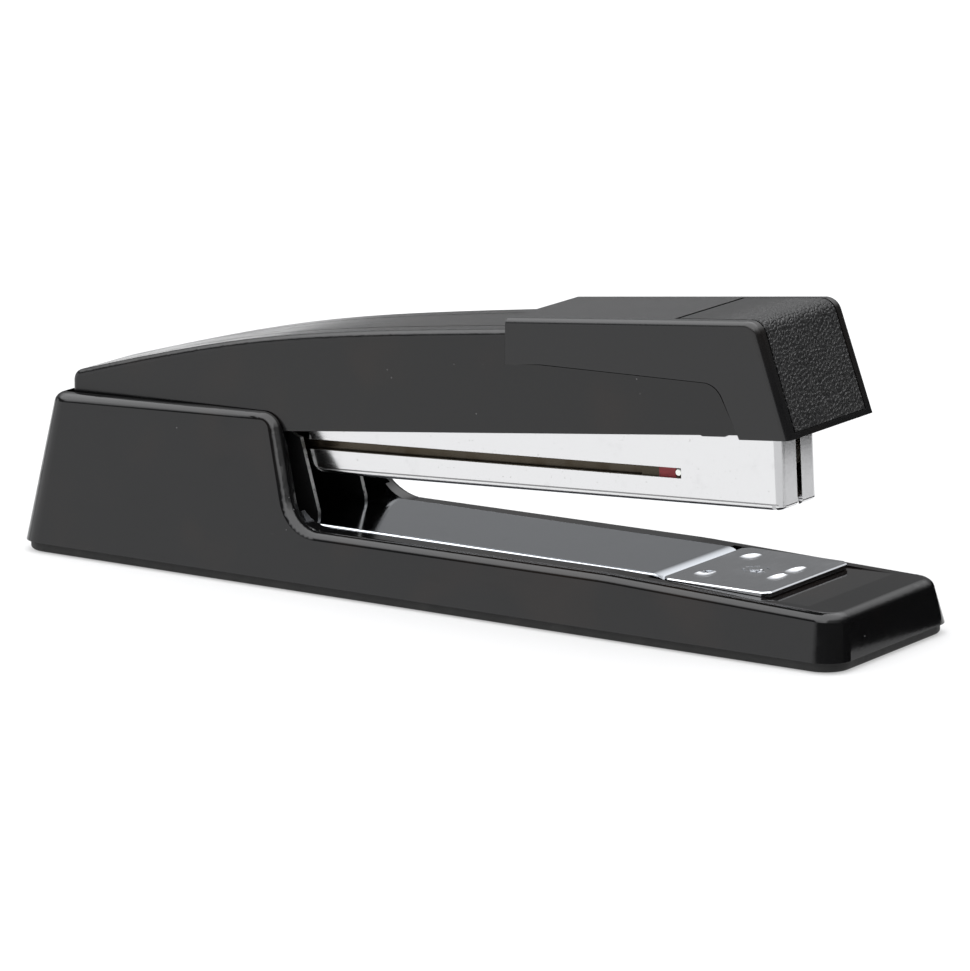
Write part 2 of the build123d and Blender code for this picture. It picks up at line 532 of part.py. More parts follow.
# ---------------------------------------------------------------- pusher
PUSHER_FRONT, PUSHER_TAIL = 160.4, 128.0
SLED_INNER, SLED_OUTER = 5.85, 6.45
SLED_HEM = 0.6           # how far the sled's rear part stands below its top
SLED_LOW, SLED_TOP, SLED_STEP = -7.75, -0.95, 146.0
BOSS_FROM, BOSS_TO, BOSS_ROUND, BOSS_NECK = 150.0, 158.0, 1.9, 2.0     # the lug that rides on the rod
with BuildPart() as pusher:
    with BuildSketch(MAG):
        with BuildLine():
            Polyline((PUSHER_TAIL, SLED_LOW), (PUSHER_FRONT, SLED_LOW), (PUSHER_FRONT, SLED_TOP),
                     (SLED_STEP, SLED_TOP), (SLED_STEP - 4, SLED_TOP - SLED_HEM),
                     (PUSHER_TAIL, SLED_TOP - SLED_HEM), close=True)
        make_face()
    extrude(amount=SLED_OUTER, both=True)
    with BuildSketch(MAG):
        Rectangle(400, 20, align=(Align.CENTER, Align.MAX))
    extrude(amount=SLED_INNER, both=True, mode=Mode.SUBTRACT)
    with BuildSketch(MAG):
        with Locations(((SLED_STEP + PUSHER_FRONT) / 2, RAIL_TOP + 0.1)):
            Rectangle(PUSHER_FRONT - SLED_STEP, SLED_TOP - RAIL_TOP - 0.1, align=(Align.CENTER, Align.MIN))
    extrude(amount=SLED_OUTER, both=True)
    with BuildSketch(across(MAG_TILT, BOSS_FROM)):
        with Locations((0, (ROD_HEIGHT + RAIL_TOP + 0.1) / 2)):
            Rectangle(BOSS_NECK, RAIL_TOP + 0.3 - ROD_HEIGHT)
        with Locations((0, ROD_HEIGHT)):
            Circle(BOSS_ROUND)
    extrude(amount=BOSS_TO - BOSS_FROM)
    with BuildSketch(across(MAG_TILT, BOSS_FROM - 1)):
        with Locations((0, ROD_HEIGHT)):
            Circle(ROD_RADIUS + 0.08)
    extrude(amount=BOSS_TO - BOSS_FROM + 2, mode=Mode.SUBTRACT)
finish(pusher, "pusher")

MARK_DISTANCE, MARK_LENGTH, MARK_WIDTH, MARK_THICK = 134.5, 4.2, 3.4, 0.12
with BuildPart() as low_staple_flag:
    for side in (-1, 1):
        with BuildSketch(MAG.offset(side * (SLED_OUTER + MARK_THICK / 2))):
            with Locations((MARK_DISTANCE, MARK_HEIGHT)):
                Rectangle(MARK_LENGTH, MARK_WIDTH)
        extrude(amount=MARK_THICK / 2, both=True)
finish(low_staple_flag, "low_staple_flag")

RIVET_DISTANCE, RIVET_RADIUS, RIVET_HEAD = 137.5, 0.8, 0.7
with BuildPart() as flag_rivet:
    for side in (-1, 1):
        with BuildSketch(MAG.offset(side * (SLED_OUTER + RIVET_HEAD / 2))):
            with Locations((RIVET_DISTANCE, MARK_HEIGHT)):
                Circle(RIVET_RADIUS)
        extrude(amount=RIVET_HEAD / 2, both=True)
    fillet(flag_rivet.edges().filter_by(GeomType.CIRCLE).filter_by(
        lambda e: abs(e.center().Y) > SLED_OUTER + RIVET_HEAD - 0.1), radius=0.25)
finish(flag_rivet, "flag_rivet")

COIL_REAR, COIL_INNER, COIL_OUTER = 8.5, 1.3, 2.1
with BuildPart() as pusher_spring:
    with BuildSketch(across(MAG_TILT, COIL_REAR)):
        with Locations((0, ROD_HEIGHT)):
            Circle(COIL_OUTER)
            Circle(COIL_INNER, mode=Mode.SUBTRACT)
    extrude(amount=BOSS_FROM - COIL_REAR)
finish(pusher_spring, "pusher_spring")


# ---------------------------------------------------------------- arm
def wedge(inset, rear=0.0, front=220.0):
    """The arm's plan, widening to the nose, as a tall block moved in from its sides."""
    def half(station):
        return ARM_HALF + ARM_TAPER * (station - ARM_HALF_STATION) - inset

    with BuildPart(mode=Mode.PRIVATE) as block:
        with BuildSketch():
            with BuildLine():
                Polyline((x_of(rear), -half(rear)), (x_of(front), -half(front)),
                         (x_of(front), half(front)), (x_of(rear), half(rear)), close=True)
            make_face()
        extrude(amount=120)
    return block.part


ARM_REAR, ARM_FRONT = 5.0, 182.2
SEAM = 55.4
CORE_INSET, CORE_TOP, CORE_RISE, CORE_FRONT = CAP_WALL + 0.2, 60.6, 3.2, 176.0
GROOVE_INSET, GROOVE_WIDTH, GROOVE_DEPTH, GROOVE_REAR = 6.0, 0.45, 0.3, 12.0


def main_side(drop, rear, front, lower):
    """Side outline of the arm behind the cap, with its crown lowered by drop."""
    crown = [at(rear, 38.7 - drop), at(27.2, 45.0 - drop), at(54.9, 51.8 - drop),
             at(90.0, 57.6 - drop), at(front, 61.8 - drop)]
    with BuildSketch(Plane.XZ) as outline:
        with BuildLine():
            over = Spline(*crown)
            Polyline(over @ 1, at(front, 39.35 - lower), at(34.0, 29.0 - lower),
                     at(31.0, 24.5 - lower), at(17.5, 24.5 - lower), at(rear, 31.5 - lower),
                     over @ 0)
        make_face()
        fillet(outline.vertices().group_by(Axis.X)[0].sort_by(Axis.Y)[-1], radius=2.6 - drop)
    return outline.sketch


def skirt_side(top, rear, lower):
    """Side outline of the arm's skirts under the cap, below the seam."""
    with BuildSketch(Plane.XZ) as outline:
        with BuildLine():
            seam = FilletPolyline(at(rear, top - 1.2), at(132, top - 0.1), at(176.5, top + 1.1),
                                  at(ARM_FRONT, 46.3 - lower), radius=[4, 5])
            Polyline(seam @ 1, at(rear, 39.25 - lower), seam @ 0)
        make_face()
    return outline.sketch


def box_side(rear, front, low, high, rise=0.0):
    """A four-cornered side outline between two stations; its top rises towards the front."""
    with BuildSketch(Plane.XZ) as outline:
        with BuildLine():
            Polyline(at(rear, low), at(rear, high), at(front, high + rise), at(front, low), close=True)
        make_face()
    return outline.sketch


def trimmed(outline, inset):
    """A side outline pulled out to the arm's plan, moved in from the sides by inset."""
    with BuildPart(mode=Mode.PRIVATE) as block:
        extrude(outline, amount=30, both=True)
        add(wedge(inset), mode=Mode.INTERSECT)
    return block.part


def crown_grooves():
    """Two fine grooves along the arm's top that set the crown panel off from its shoulders."""
    def half(station):
        return ARM_HALF + ARM_TAPER * (station - ARM_HALF_STATION) - GROOVE_INSET

    with BuildPart(mode=Mode.PRIVATE) as grooves:
        with BuildSketch(Plane.XZ):
            add(main_side(-1.0, ARM_REAR, CAP_REAR, 0.0))
            add(main_side(GROOVE_DEPTH, ARM_REAR, CAP_REAR, 0.0), mode=Mode.SUBTRACT)
        extrude(amount=30, both=True)
        with BuildSketch():
            for side in (-1, 1):
                with BuildLine():
                    Polyline((x_of(GROOVE_REAR), side * half(GROOVE_REAR)),
                             (x_of(CAP_REAR), side * half(CAP_REAR)),
                             (x_of(CAP_REAR), side * (half(CAP_REAR) - GROOVE_WIDTH)),
                             (x_of(GROOVE_REAR), side * (half(GROOVE_REAR) - GROOVE_WIDTH)), close=True)
                make_face()
        extrude(amount=120, mode=Mode.INTERSECT)
    return grooves.part


def arm_form():
    """The arm's outer form: the crowned rear part, the skirts and the core inside the cap."""
    with BuildPart(mode=Mode.PRIVATE) as main:
        add(trimmed(main_side(0.0, ARM_REAR, CAP_REAR - SEAM_GAP, 0.0), 0.0))
        fillet(main.edges().filter_by(
            lambda e: abs(e.center().Y) > 8 and e.center().Z > 38.5
            and not (e.bounding_box().size.X < 0.1 and e.center().X > 0)), radius=EDGE)
    skirt = trimmed(skirt_side(SEAM - SEAM_GAP, CAP_REAR - 1, 0.0), 0.0)
    core = trimmed(box_side(CAP_REAR - 1, CORE_FRONT, 50, CORE_TOP, CORE_RISE), CORE_INSET)
    return main.part + skirt + core


def arm_hollow():
    """The space inside the arm, open below and at the front."""
    main = trimmed(main_side(ARM_WALL, ARM_REAR + ARM_WALL, CAP_REAR - SEAM_GAP - ARM_WALL, 20.0),
                   ARM_WALL)
    skirt = trimmed(skirt_side(SEAM - SEAM_GAP - ARM_WALL, CAP_REAR - 8, 20.0), ARM_WALL)
    mouth = trimmed(box_side(160, 190, 20, 53.5), ARM_WALL)
    core = trimmed(box_side(CAP_REAR - 8, CORE_FRONT + 6, 45, CORE_TOP - ARM_WALL, CORE_RISE),
                   ARM_WALL + CORE_INSET)
    return main + skirt + mouth + core


with BuildPart() as arm_shell:
    add(arm_form())
    add(arm_hollow(), mode=Mode.SUBTRACT)
    add(crown_grooves(), mode=Mode.SUBTRACT)
    with BuildSketch(Plane.XZ):
        with Locations(at(PIVOT_STATION, PIVOT_HEIGHT)):
            Circle(PIN_RADIUS + RUNNING)
    extrude(amount=30, both=True, mode=Mode.SUBTRACT)
finish(arm_shell, "arm_shell")


# ---------------------------------------------------------------- front cap and grip pad
NOSE_TOP, NOSE_FOOT = (186.2, 70.75), (194.9, 46.6)
NOSE_RADIUS = 3.5


def cap_side():
    """The cap's side outline: top, nose and front face; its lower rear corner follows the seam."""
    with BuildSketch(Plane.XZ) as outline:
        with BuildLine():
            over = FilletPolyline(at(CAP_REAR, 64.3), at(*NOSE_TOP), at(*NOSE_FOOT), at(182.6, 45.4),
                                  radius=[NOSE_RADIUS, 0])
            seam = FilletPolyline(at(182.6, 45.4), at(176.8, SEAM + 1.2), at(132, SEAM),
                                  at(CAP_REAR, SEAM - 1.2), radius=[5, 4])
            Polyline(seam @ 1, over @ 0)
        make_face()
    return outline.sketch


with BuildPart() as cap_form:
    extrude(cap_side(), amount=30, both=True)
    add(wedge(0.0), mode=Mode.INTERSECT)
    fillet(cap_form.edges().filter_by(
        lambda e: abs(e.center().Y) > 8
        and (e.center().Z > 63 or e.center().X > x_of(186) and e.bounding_box().size.Z > 10)),
        radius=EDGE)

PAD_FROM, PAD_FOOT, PAD_DEPTH = 165.3, 47.9, 1.2
PAD_INSET, PAD_GAP, PAD_REAR_GAP = 3.5, 0.5, 0.9     # from the cap's sides, and the groove round the pad


def grip_band(depth, rear, foot, inset):
    """The band of the cap's surface that the grip pad covers."""
    with BuildPart(mode=Mode.PRIVATE) as band:
        with BuildSketch(Plane.XZ):
            add(cap_side())
            offset(cap_side(), amount=-depth, mode=Mode.SUBTRACT)
            with BuildLine():
                Polyline(at(rear, 90), at(rear, 60), at(178, 60), at(183, foot), at(199, foot),
                         at(199, 90), close=True)
            make_face(mode=Mode.INTERSECT)
        extrude(amount=30, both=True)
        add(wedge(inset), mode=Mode.INTERSECT)
    return band.part


with BuildPart() as front_cap:
    add(cap_form.part)
    with BuildPart(mode=Mode.PRIVATE) as cavity:
        with BuildSketch(Plane.XZ):
            with BuildLine():
                Polyline(at(CAP_REAR - 5, 30), at(CAP_REAR - 5, 62.1), at(184.6, 68.4), at(192.6, 30),
                         close=True)
            make_face()
        extrude(amount=30, both=True)
        add(wedge(CAP_WALL), mode=Mode.INTERSECT)
    add(cavity.part, mode=Mode.SUBTRACT)
    add(grip_band(PAD_DEPTH + 0.1, PAD_FROM - PAD_REAR_GAP, PAD_FOOT - 0.15, PAD_INSET - PAD_GAP),
        mode=Mode.SUBTRACT)
finish(front_cap, "front_cap")

with BuildPart() as grip_pad:
    add(grip_band(PAD_DEPTH, PAD_FROM, PAD_FOOT, PAD_INSET))
finish(grip_pad, "grip_pad")

# ---------------------------------------------------------------- driver liner, blade and fixings
LINER_HALF, LINER_WALL = 6.2, 1.0
LINER_REAR, LINER_FRONT = 22.0, 160.6
LINER_LOW, LINER_HIGH = 1.6, 15.6
with BuildPart() as driver_liner:
    with BuildSketch(ARM):
        with BuildLine():
            Polyline((LINER_REAR, 6.0), (LINER_REAR + 12, LINER_LOW), (LINER_FRONT, LINER_LOW),
                     (LINER_FRONT, LINER_HIGH), (LINER_REAR, LINER_HIGH), close=True)
        make_face()
    extrude(amount=LINER_HALF, both=True)
    fillet(driver_liner.edges().filter_by(
        lambda e: e.length > 100 and e.center().Z > 45), radius=1.2)
    with BuildSketch(ARM):
        Rectangle(400, LINER_HIGH - LINER_WALL, align=(Align.CENTER, Align.MIN))
    extrude(amount=LINER_HALF - LINER_WALL, both=True, mode=Mode.SUBTRACT)
finish(driver_liner, "driver_liner")

BLADE_FACE, BLADE_THICK, BLADE_TIP = 161.15, 0.5, -9.0
with BuildPart() as driver_blade:
    with BuildSketch(ARM):
        with Locations((BLADE_FACE, BLADE_TIP)):
            Rectangle(BLADE_THICK, LINER_HIGH - 1.6 - BLADE_TIP, align=(Align.MIN, Align.MIN))
        with Locations((LINER_FRONT, LINER_LOW + 3)):
            Rectangle(BLADE_FACE - LINER_FRONT, LINER_HIGH - 1.6 - LINER_LOW - 3,
                      align=(Align.MIN, Align.MIN))
    extrude(amount=LINER_HALF - 0.1, both=True)
finish(driver_blade, "driver_blade")

BLADE_RIVET_SIDE, BLADE_RIVET_HEIGHT, BLADE_RIVET_RADIUS = 3.2, 12.6, 1.3
with BuildPart() as driver_rivets:
    for side in (-BLADE_RIVET_SIDE, BLADE_RIVET_SIDE):
        with BuildSketch(across(ARM_TILT, BLADE_FACE + BLADE_THICK)):
            with Locations((side, BLADE_RIVET_HEIGHT)):
                Circle(BLADE_RIVET_RADIUS)
        extrude(amount=0.8)
finish(driver_rivets, "driver_rivets")

BLOCK_DISTANCES, BLOCK_LENGTH, BLOCK_WIDTH = (32.0, 66.0), 8.0, 9.0
with BuildPart() as liner_blocks:
    for distance in BLOCK_DISTANCES:
        with BuildSketch(along(ARM_TILT, distance, LINER_HIGH)):
            Rectangle(BLOCK_LENGTH, BLOCK_WIDTH)
        extrude(amount=30)
    add(arm_hollow(), mode=Mode.INTERSECT)
finish(liner_blocks, "liner_blocks")

CAP_SCREW_DISTANCES, CAP_SCREW_RADIUS, CAP_SCREW_HEAD = (118.0, 140.0), 2.4, 1.2
with BuildPart() as cap_screws:
    for distance in CAP_SCREW_DISTANCES:
        with BuildSketch(along(ARM_TILT, distance, LINER_HIGH)):
            Circle(CAP_SCREW_RADIUS)
        extrude(amount=CAP_SCREW_HEAD)
finish(cap_screws, "cap_screws")

LEAF_REAR, LEAF_FRONT, LEAF_SAG, LEAF_THICK, LEAF_HALF = 30.0, 66.0, 1.2, 0.5, 3.5
LEAF_TOP = LINER_HIGH - LINER_WALL
LEAF_MIDDLE = (LEAF_REAR + LEAF_FRONT) / 2
with BuildPart() as return_spring:
    with BuildSketch(ARM):
        with BuildLine():
            ThreePointArc((LEAF_REAR, LEAF_TOP), (LEAF_MIDDLE, LEAF_TOP - LEAF_SAG), (LEAF_FRONT, LEAF_TOP))
            ThreePointArc((LEAF_FRONT, LEAF_TOP), (LEAF_MIDDLE, LEAF_TOP - LEAF_SAG - LEAF_THICK),
                          (LEAF_REAR, LEAF_TOP))
        make_face()
    extrude(amount=LEAF_HALF, both=True)
finish(return_spring, "return_spring")

TAB_MIDDLE, TAB_THICK = 15.28, 0.84      # just inside the arm's skirts
with BuildPart() as latch_tabs:
    for side in (-1, 1):
        with BuildSketch(Plane.XZ.offset(side * TAB_MIDDLE)):
            with BuildLine():
                FilletPolyline(at(171.2, 47.5), at(172.2, 44.65), at(178.5, 45.25), at(179.5, 47.5),
                               radius=[0.4, 0.8, 0.8, 0.4], close=True)
            make_face()
        extrude(amount=TAB_THICK / 2, both=True)
finish(latch_tabs, "latch_tabs")
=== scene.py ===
"""Looks for the full-strip desk stapler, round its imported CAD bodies. Metres, in the CAD's own frame."""

import json
from math import cos, pi, radians, sin

import bmesh
import bpy
from mathutils import Matrix, Vector


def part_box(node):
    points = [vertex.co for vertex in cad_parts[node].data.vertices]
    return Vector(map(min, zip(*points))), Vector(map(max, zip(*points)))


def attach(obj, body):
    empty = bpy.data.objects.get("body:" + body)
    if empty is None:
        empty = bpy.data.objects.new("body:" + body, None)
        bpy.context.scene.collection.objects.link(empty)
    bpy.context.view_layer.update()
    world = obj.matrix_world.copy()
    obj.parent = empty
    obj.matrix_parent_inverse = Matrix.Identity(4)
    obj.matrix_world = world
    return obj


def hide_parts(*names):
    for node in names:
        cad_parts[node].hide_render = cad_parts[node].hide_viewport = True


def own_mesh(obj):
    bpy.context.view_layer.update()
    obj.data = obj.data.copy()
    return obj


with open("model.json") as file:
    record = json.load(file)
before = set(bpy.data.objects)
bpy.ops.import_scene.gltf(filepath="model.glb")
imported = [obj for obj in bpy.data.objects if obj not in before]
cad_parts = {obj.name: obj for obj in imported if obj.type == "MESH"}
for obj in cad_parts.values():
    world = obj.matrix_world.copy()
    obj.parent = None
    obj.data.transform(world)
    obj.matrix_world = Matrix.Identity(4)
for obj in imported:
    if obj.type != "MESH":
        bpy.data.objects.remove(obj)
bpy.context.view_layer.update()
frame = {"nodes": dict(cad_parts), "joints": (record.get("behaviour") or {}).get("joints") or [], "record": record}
NODES = frame["nodes"]
JOINTS = {joint["name"]: joint for joint in frame["joints"]}
MM = 0.001
SLIDE = -Vector(JOINTS["pusher_slide"]["axis"])     # forward along the magazine, at rest
MAGAZINE_SLOPE = SLIDE.z / SLIDE.x
ENAMEL_IOR = 1.5            # paint, plastic and rubber alike; metals don't use it
BEVEL_SAMPLES = 4


# ---------------------------------------------------------------- procedural finishes
class Finish:
    """One principled material in the making, with its detail taken from object coordinates in metres."""

    def __init__(self, name, colour, roughness, metallic=0.0, specular=0.5):
        self.material = bpy.data.materials.new(name)
        self.material.use_nodes = True
        self.nodes = self.material.node_tree.nodes
        self.links = self.material.node_tree.links
        self.shader = self.nodes["Principled BSDF"]
        for socket, value in {"Base Color": (*colour, 1), "Roughness": roughness, "Metallic": metallic,
                              "Specular IOR Level": specular, "IOR": ENAMEL_IOR}.items():
            self.shader.inputs[socket].default_value = value
        self.place = self.nodes.new("ShaderNodeTexCoord").outputs["Object"]
        self.colour = None
        self.rough = None
        self.normal = None

    def math(self, operation, a, b=0.0, clamp=False):
        """A math node; a and b are numbers or sockets."""
        node = self.nodes.new("ShaderNodeMath")
        node.operation = operation
        node.use_clamp = clamp
        for socket, value in zip(node.inputs, (a, b)):
            if isinstance(value, bpy.types.NodeSocket):
                self.links.new(value, socket)
            else:
                socket.default_value = value
        return node.outputs[0]

    def stretched(self, scale):
        """Object coordinates scaled by a number for each axis."""
        node = self.nodes.new("ShaderNodeMapping")
        node.inputs["Scale"].default_value = scale
        self.links.new(self.place, node.inputs["Vector"])
        return node.outputs[0]

    def noise(self, scale, detail=3.0, roughness=0.55, place=None):
        """Noise with the given number of features a metre."""
        node = self.nodes.new("ShaderNodeTexNoise")
        node.inputs["Scale"].default_value = scale
        node.inputs["Detail"].default_value = detail
        node.inputs["Roughness"].default_value = roughness
        self.links.new(place or self.place, node.inputs["Vector"])
        return node.outputs["Fac"]

    def cells(self, scale, feature="F1", smoothness=0.4):
        """Distances in a field of cells."""
        node = self.nodes.new("ShaderNodeTexVoronoi")
        node.feature = feature
        node.inputs["Scale"].default_value = scale
        if feature == "SMOOTH_F1":
            node.inputs["Smoothness"].default_value = smoothness
        self.links.new(self.place, node.inputs["Vector"])
        return node.outputs["Distance"]

    def step(self, value, low, high):
        """A smooth step from 0 where value is low to 1 where it is high."""
        node = self.nodes.new("ShaderNodeMapRange")
        node.interpolation_type = "SMOOTHSTEP"
        for socket, number in zip(list(node.inputs)[1:5], (low, high, 0.0, 1.0)):
            socket.default_value = number
        self.links.new(value, node.inputs["Value"])
        return node.outputs["Result"]

    def axis(self, name):
        """The X, Y or Z object coordinate."""
        node = self.nodes.new("ShaderNodeSeparateXYZ")
        self.links.new(self.place, node.inputs[0])
        return node.outputs[name]

    def facing(self, name):
        """The X, Y or Z part of the surface normal, in object coordinates."""
        node = self.nodes.new("ShaderNodeSeparateXYZ")
        self.links.new(self.place.node.outputs["Normal"], node.inputs[0])
        return node.outputs[name]

    def tint(self, factor, colour):
        """Mixes a colour over the present one where factor is high."""
        node = self.nodes.new("ShaderNodeMix")
        node.data_type = "RGBA"
        self.links.new(factor, node.inputs["Factor"])
        sockets = [s for s in node.inputs if s.type == "RGBA"]
        if self.colour is None:
            sockets[0].default_value = self.shader.inputs["Base Color"].default_value
        else:
            self.links.new(self.colour, sockets[0])
        sockets[1].default_value = (*colour, 1)
        self.colour = [s for s in node.outputs if s.type == "RGBA"][0]

    def roughen(self, factor, amount):
        """Adds amount times factor to the roughness."""
        start = self.rough if self.rough is not None else self.shader.inputs["Roughness"].default_value
        self.rough = self.math("ADD", start, self.math("MULTIPLY", factor, amount), clamp=True)

    def bump(self, height, depth):
        """Raises the surface by depth metres where height is 1."""
        node = self.nodes.new("ShaderNodeBump")
        node.inputs["Strength"].default_value = 1.0
        node.inputs["Distance"].default_value = depth
        self.links.new(height, node.inputs["Height"])
        if self.normal is not None:
            self.links.new(self.normal, node.inputs["Normal"])
        self.normal = node.outputs["Normal"]

    def soften(self, radius):
        """Rounds the shading of sharp edges by radius."""
        node = self.nodes.new("ShaderNodeBevel")
        node.samples = BEVEL_SAMPLES
        node.inputs["Radius"].default_value = radius
        self.normal = node.outputs["Normal"]

    def edges(self, radius, low=0.02, high=0.25):
        """High along edges, within radius of them."""
        node = self.nodes.new("ShaderNodeBevel")
        node.samples = BEVEL_SAMPLES
        node.inputs["Radius"].default_value = radius
        flat = self.nodes.new("ShaderNodeNewGeometry").outputs["Normal"]
        dot = self.nodes.new("ShaderNodeVectorMath")
        dot.operation = "DOT_PRODUCT"
        self.links.new(node.outputs["Normal"], dot.inputs[0])
        self.links.new(flat, dot.inputs[1])
        return self.step(self.math("SUBTRACT", 1.0, dot.outputs["Value"]), low, high)

    def done(self):
        """Joins the detail to the shader."""
        details = {"Base Color": self.colour, "Roughness": self.rough, "Normal": self.normal}
        for socket, source in details.items():
            if source is not None:
                self.links.new(source, self.shader.inputs[socket])
        return self.material


def specks(finish, scale, size, colour, bump=0.0):
    """Fine dust specks, each the centre of a cell, on about one cell in six."""
    dots = finish.step(finish.cells(scale), size, size * 0.55)
    chosen = finish.step(finish.noise(scale * 0.37, 1.0), 0.60, 0.64)
    mask = finish.math("MULTIPLY", dots, chosen)
    finish.tint(mask, colour)
    finish.roughen(mask, 0.3)
    if bump:
        finish.bump(mask, bump)


def enamel(name, roughness, wear):
    """Black semi-gloss enamel: faint orange peel, wiped patches, dust, and edges rubbed paler."""
    f = Finish(name, (0.0042, 0.0042, 0.0044), roughness, specular=0.43)
    f.tint(f.step(f.noise(38, 2.0), 0.50, 0.70), (0.0076, 0.0058, 0.0050))
    f.tint(f.edges(0.35 * MM), (wear, wear, wear))
    f.roughen(f.step(f.noise(55, 4.0), 0.35, 0.75), 0.05)
    f.roughen(f.step(f.noise(420, 3.0, place=f.stretched((0.25, 1, 1))), 0.55, 0.8), 0.05)
    f.bump(f.noise(900, 2.0, 0.4), 0.004 * MM)
    specks(f, 330, 0.060, (0.11, 0.11, 0.11), 0.01 * MM)
    return f.done()


def cap_plastic():
    """Moulded black plastic with a fine spark-eroded bloom, slight flow marks, and a painted highlight that makes
    the upward-facing top lighter.
    """
    f = Finish("cap_plastic", (0.0052, 0.0052, 0.0055), 0.20, specular=0.48)
    f.tint(f.edges(0.4 * MM), (0.012, 0.012, 0.0125))
    f.tint(f.step(f.noise(45, 2.0), 0.50, 0.72), (0.0070, 0.0058, 0.0052))
    f.tint(f.step(f.facing("Z"), 0.88, 0.99), (0.018, 0.018, 0.0185))       # painted highlight: faces that point up are tinted lighter, standing in for light from overhead
    f.roughen(f.step(f.noise(70, 3.0, place=f.stretched((0.35, 1, 1))), 0.35, 0.75), 0.07)
    f.bump(f.noise(4200, 2.0, 0.5), 0.0035 * MM)
    specks(f, 240, 0.05, (0.10, 0.10, 0.10), 0.01 * MM)
    return f.done()


PEBBLES = 1050              # pebbles of the grip's leather grain, a metre


def grip_texture():
    """Soft black grip: smooth on top, with a pebbled leather grain over the nose and down the front."""
    f = Finish("grip_texture", (0.0055, 0.0055, 0.0058), 0.30)
    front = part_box("grip_pad")[1].x
    onset = f.step(f.axis("X"), front - 24 * MM, front - 9 * MM)
    pebbles = f.cells(PEBBLES, "SMOOTH_F1", 0.25)
    creases = f.cells(PEBBLES, "DISTANCE_TO_EDGE")
    fine = f.noise(2600, 3.0, 0.6)
    raised = f.math("ADD", f.math("SUBTRACT", f.step(creases, 0.0, 0.28), f.math("MULTIPLY", pebbles, 0.35)),
                    f.math("MULTIPLY", fine, 0.35))
    f.bump(f.math("MULTIPLY", raised, onset), 0.16 * MM)
    f.bump(f.noise(3800, 2.0, 0.5), 0.006 * MM)
    # painted shade: the grain's creases are tinted darker, over the nose and down the front only
    f.tint(f.math("MULTIPLY", onset, f.step(creases, 0.16, 0.0)), (0.0028, 0.0028, 0.003))
    f.tint(f.edges(0.3 * MM), (0.012, 0.012, 0.0125))
    f.roughen(onset, 0.10)
    f.roughen(f.noise(300, 3.0), 0.10)
    return f.done()


def pad_rubber():
    """Dull black rubber with moulding grain, a little dust in it, and a rubbed lower edge."""
    f = Finish("pad_rubber", (0.0075, 0.0074, 0.0072), 0.52, specular=0.4)
    f.tint(f.step(f.noise(150, 4.0), 0.50, 0.75), (0.015, 0.0145, 0.014))
    f.tint(f.edges(0.4 * MM), (0.02, 0.0195, 0.019))
    f.roughen(f.noise(600, 3.0), 0.2)
    f.bump(f.noise(5200, 3.0, 0.6), 0.02 * MM)
    specks(f, 420, 0.06, (0.10, 0.098, 0.095))
    return f.done()


def yoke_paint():
    """Black dipped steel; the sheared edges of its upright plates are bare, grey and a little torn."""
    f = Finish("yoke_paint", (0.006, 0.006, 0.0063), 0.26)
    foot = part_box("yoke")[0].z
    flank = f.step(f.math("ABSOLUTE", f.facing("Y")), 0.55, 0.35)
    upright = f.step(f.axis("Z"), foot + 2 * MM, foot + 3 * MM)
    patchy = f.step(f.noise(1100, 4.0, 0.7), 0.30, 0.46)
    bare = f.math("MULTIPLY", f.math("MULTIPLY", flank, upright), patchy)
    f.tint(bare, (0.60, 0.60, 0.59))
    f.links.new(f.math("MULTIPLY", bare, 0.95), f.shader.inputs["Metallic"])
    f.roughen(f.noise(160, 4.0), 0.14)
    f.roughen(bare, 0.15)
    f.bump(f.noise(2200, 4.0, 0.7), 0.03 * MM)
    return f.done()


def plated_finish(name, colour, roughness, grain=(0.03, 1, 1), grain_scale=2600, streak=0.10,
                  polish=0.10 * MM, spots=(0.34, 0.33, 0.31)):
    """Plated or bare sheet steel: rolling lines, drifting gloss, small stains and softened edges."""
    f = Finish(name, colour, roughness, metallic=1.0)
    f.soften(polish)
    lines = f.noise(grain_scale, 4.0, 0.6, place=f.stretched(grain))
    f.roughen(f.step(lines, 0.3, 0.8), streak)
    f.roughen(f.step(f.noise(90, 4.0), 0.4, 0.75), streak * 0.7)
    f.bump(lines, 0.0035 * MM)
    f.tint(f.math("MULTIPLY", f.step(f.noise(140, 5.0, 0.65), 0.56, 0.80), 0.5),
           tuple(0.80 * c for c in colour))
    f.tint(f.math("MULTIPLY", f.step(f.noise(1500, 2.0), 0.70, 0.76), 0.6), spots)
    return f


def plated(name, colour, roughness, **detail):
    """A plated finish with nothing further on it."""
    return plated_finish(name, colour, roughness, **detail).done()


def magazine_plating():
    """Bright plating. The pressed line above the bottom fold and the dark foot are in the material only: the line
    is a shallow groove with painted shade along it, and the foot is a painted reflection of the dark base.
    """
    f = plated_finish("magazine_plating", (0.71, 0.71, 0.715), 0.12, streak=0.06)
    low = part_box("magazine_channel")[0]
    rise = f.math("MULTIPLY", f.math("SUBTRACT", f.axis("X"), low.x), MAGAZINE_SLOPE)
    height = f.math("SUBTRACT", f.math("SUBTRACT", f.axis("Z"), low.z), rise)
    across = f.math("ABSOLUTE", f.facing("Y"))
    line = f.math("MULTIPLY", f.step(height, 0.84 * MM, 0.94 * MM), f.step(height, 1.20 * MM, 1.08 * MM))
    line = f.math("MULTIPLY", line, f.step(across, 0.75, 0.9))
    foot = f.math("MULTIPLY", f.step(height, 0.42 * MM, 0.30 * MM), f.step(across, 0.15, 0.25))
    # painted shade: the pressed line is tinted dark grey along its groove
    f.tint(line, (0.26, 0.26, 0.26))
    # painted reflection: the foot is tinted near black, standing in for the dark base that it reflects
    f.tint(foot, (0.045, 0.045, 0.045))
    f.bump(line, -0.03 * MM)
    return f.done()


